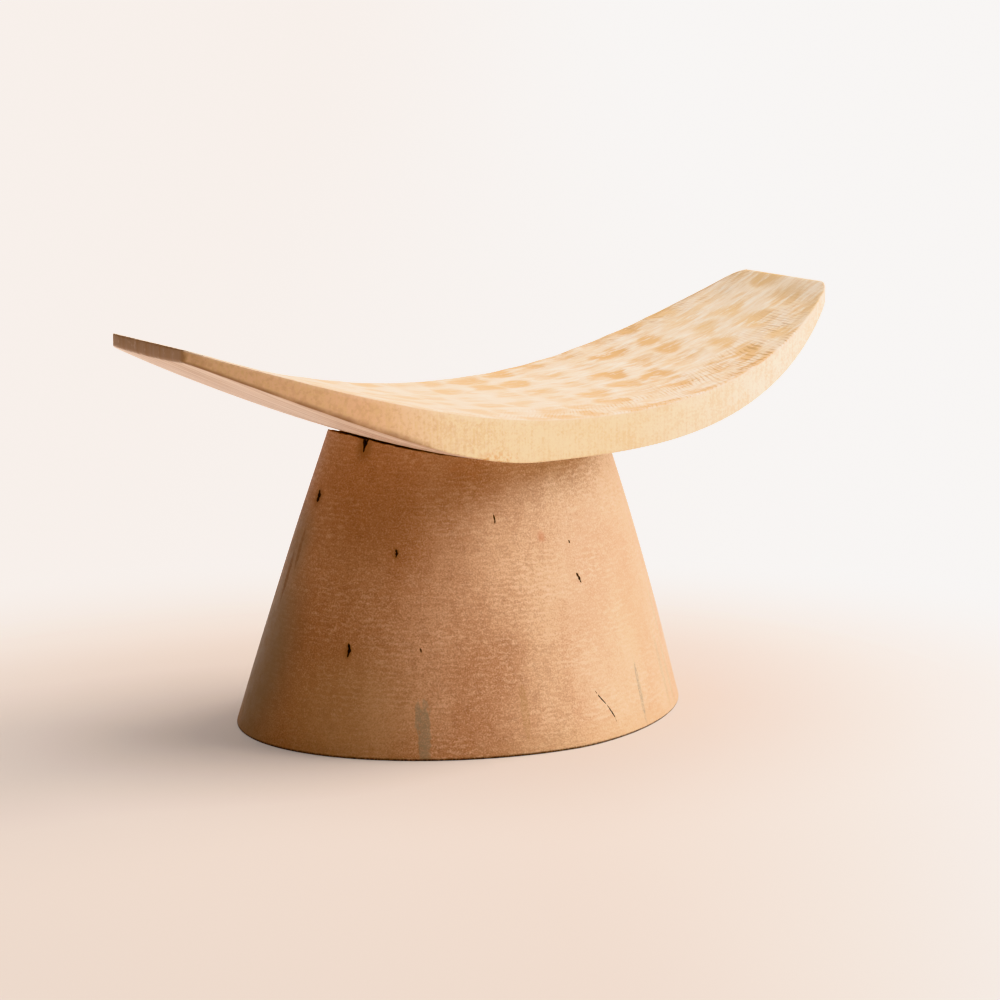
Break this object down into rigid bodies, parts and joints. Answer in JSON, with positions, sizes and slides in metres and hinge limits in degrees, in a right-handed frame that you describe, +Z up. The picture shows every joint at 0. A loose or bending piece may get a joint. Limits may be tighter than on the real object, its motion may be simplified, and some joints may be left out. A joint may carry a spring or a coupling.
{
  "type": "headrest",
  "caption": "Carved wooden headrest: a boat-shaped rest board, curved up at both ends, on a tapered oval pedestal of darker wood.",
  "frame": {"origin": "on the surface it stands on, under the middle of its length and of its depth", "axes": "+X along the board towards its more curved wing, +Y to the back, +Z up"},
  "size_m": [0.3, 0.1544, 0.165],
  "materials": {
    "pale_wood": "gouged top face, scraped edges, bare",
    "brown_wood": "smooth, bare, with a fine ripple figure",
    "dowel_wood": "turned, bare"
  },
  "bodies": {
    "root": {"board": "pale_wood", "pedestal": "brown_wood", "dowel_left": "dowel_wood", "dowel_right": "dowel_wood"}
  },
  "joints": []
}
